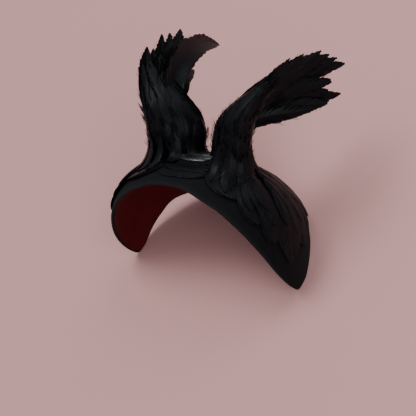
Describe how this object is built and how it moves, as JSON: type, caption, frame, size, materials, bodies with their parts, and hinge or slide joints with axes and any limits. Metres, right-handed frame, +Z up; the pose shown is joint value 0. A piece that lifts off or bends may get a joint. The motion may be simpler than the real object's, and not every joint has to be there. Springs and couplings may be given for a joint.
{
  "type": "headband fascinator",
  "caption": "Felt half hat that grips the crown, with a lobe over each ear, a dark lining, two swept feather plumes and wings of overlapping feathers.",
  "frame": {"origin": "on the surface the hat rests on, under the middle of its bounding box", "axes": "+Z up with the hat resting by itself, +X the way the wearer's face would point, +Y to the wearer's left"},
  "size_m": [0.1898, 0.1782, 0.1332],
  "materials": {
    "felt": "black wool felt with a short matt nap",
    "lining": "dark red woven lining with a faint sheen",
    "feather": "black feather with a satin sheen and brownish tips"
  },
  "bodies": {
    "root": {"felt_base": "felt", "lining": "lining", "crown_feathers": "feather", "wing_feathers_left": "feather", "wing_feathers_right": "feather", "ear_plume_left": "feather", "ear_plume_right": "feather"}
  },
  "joints": []
}
